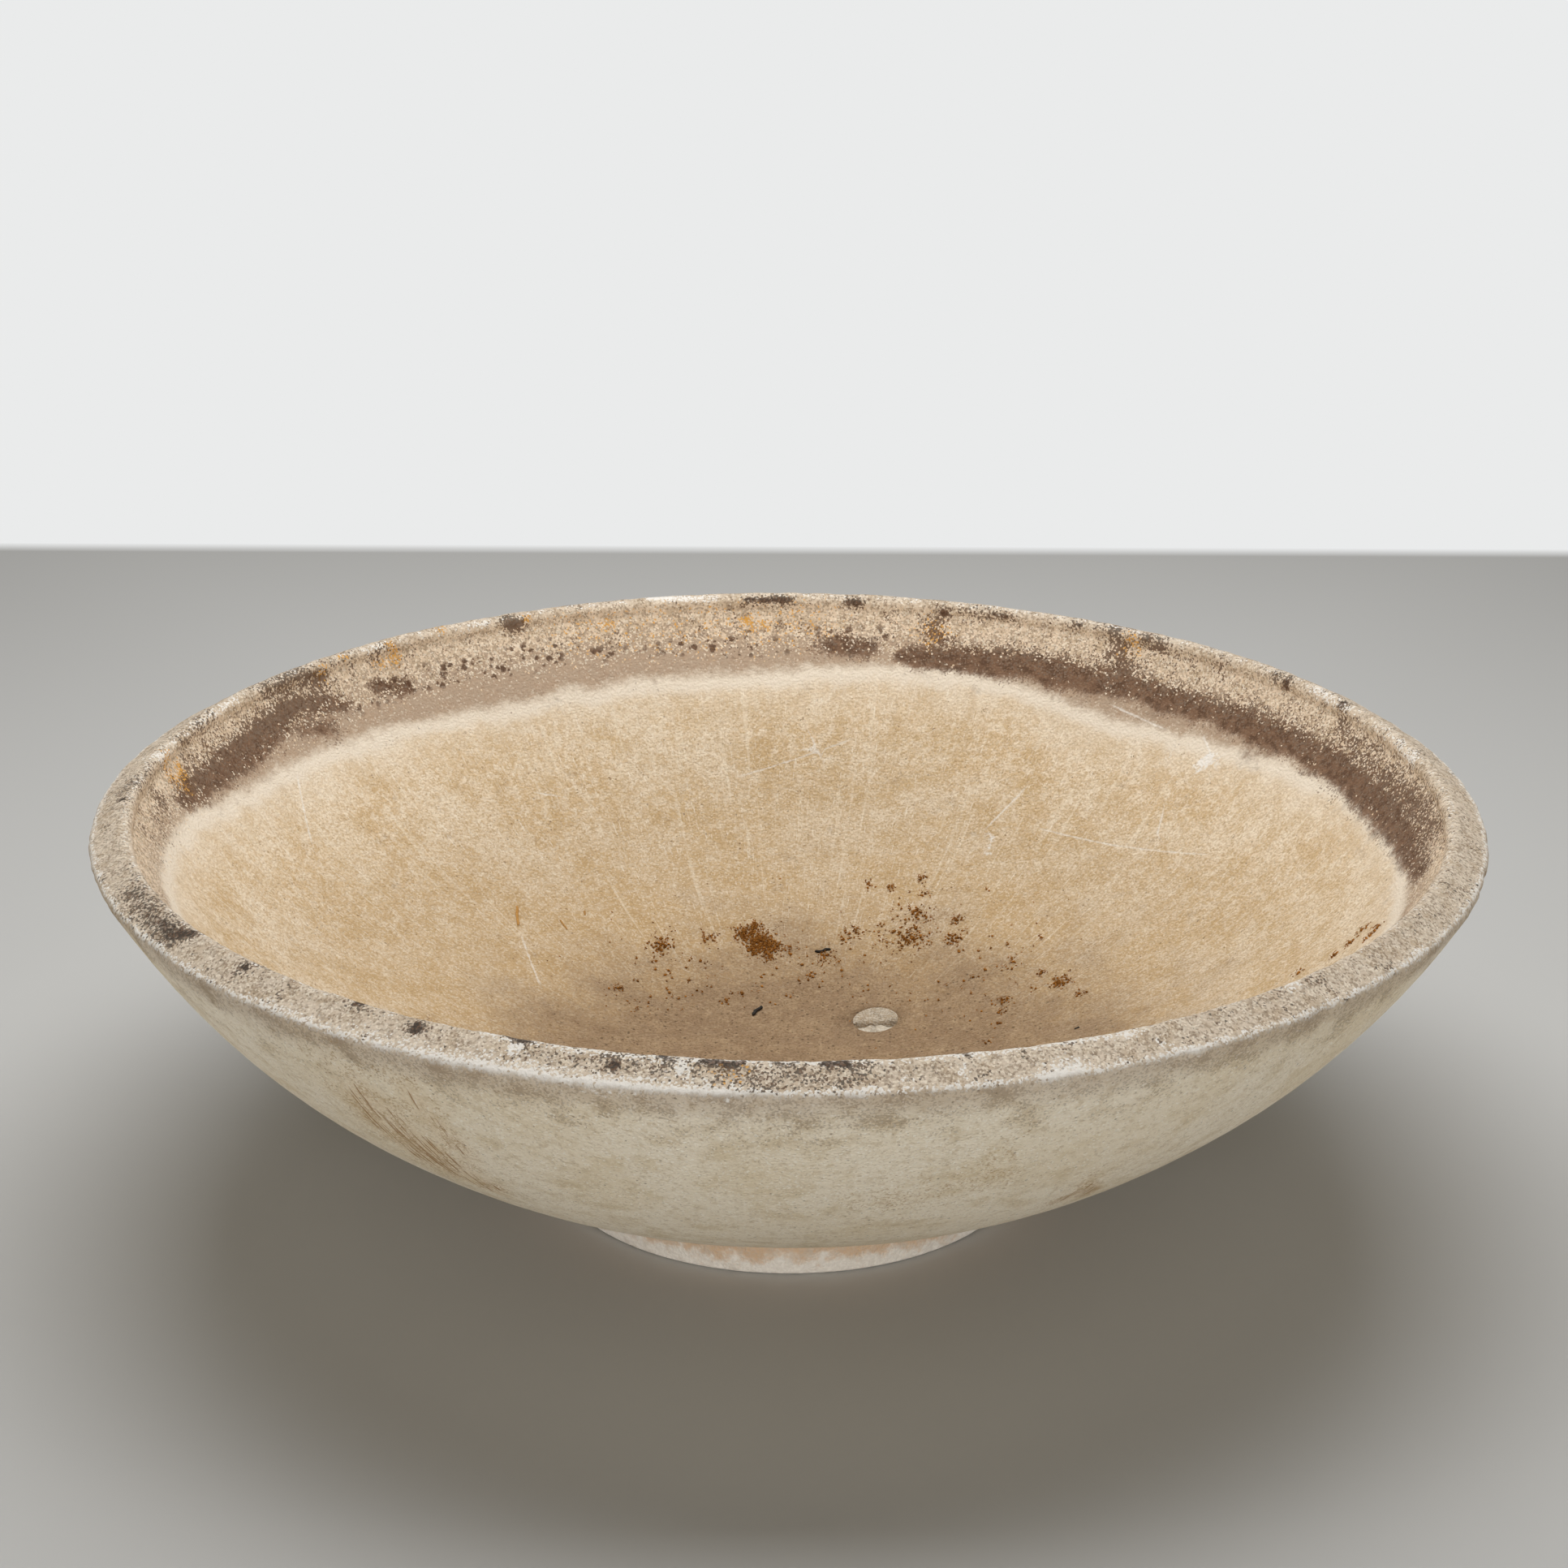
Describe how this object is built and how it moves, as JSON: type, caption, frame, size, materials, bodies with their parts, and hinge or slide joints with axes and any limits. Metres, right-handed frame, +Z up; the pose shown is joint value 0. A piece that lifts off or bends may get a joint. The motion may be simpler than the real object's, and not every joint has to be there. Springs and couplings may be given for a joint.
{
  "type": "bowl planter",
  "caption": "Shallow round stone bowl planter with a sloping rim top, a curved wall, a plugged drain hole and a low foot ring, to stand on a floor or terrace.",
  "frame": {"origin": "centre of the foot ring's resting face, on the bowl's axis", "axes": "+Z up along the bowl's axis; the picture looks along +Y with +X to the right"},
  "size_m": [1.1498, 1.1498, 0.35],
  "materials": {
    "bowl_stone": "weathered, matt",
    "foot_stone": "weathered, matt",
    "bed_mortar": "rough, matt",
    "plug_mortar": "rough, matt"
  },
  "bodies": {
    "root": {"bowl_shell": "bowl_stone", "foot_ring": "foot_stone", "mortar_bed": "bed_mortar", "drain_plug_rear": "plug_mortar", "drain_plug_front": "plug_mortar"}
  },
  "joints": []
}
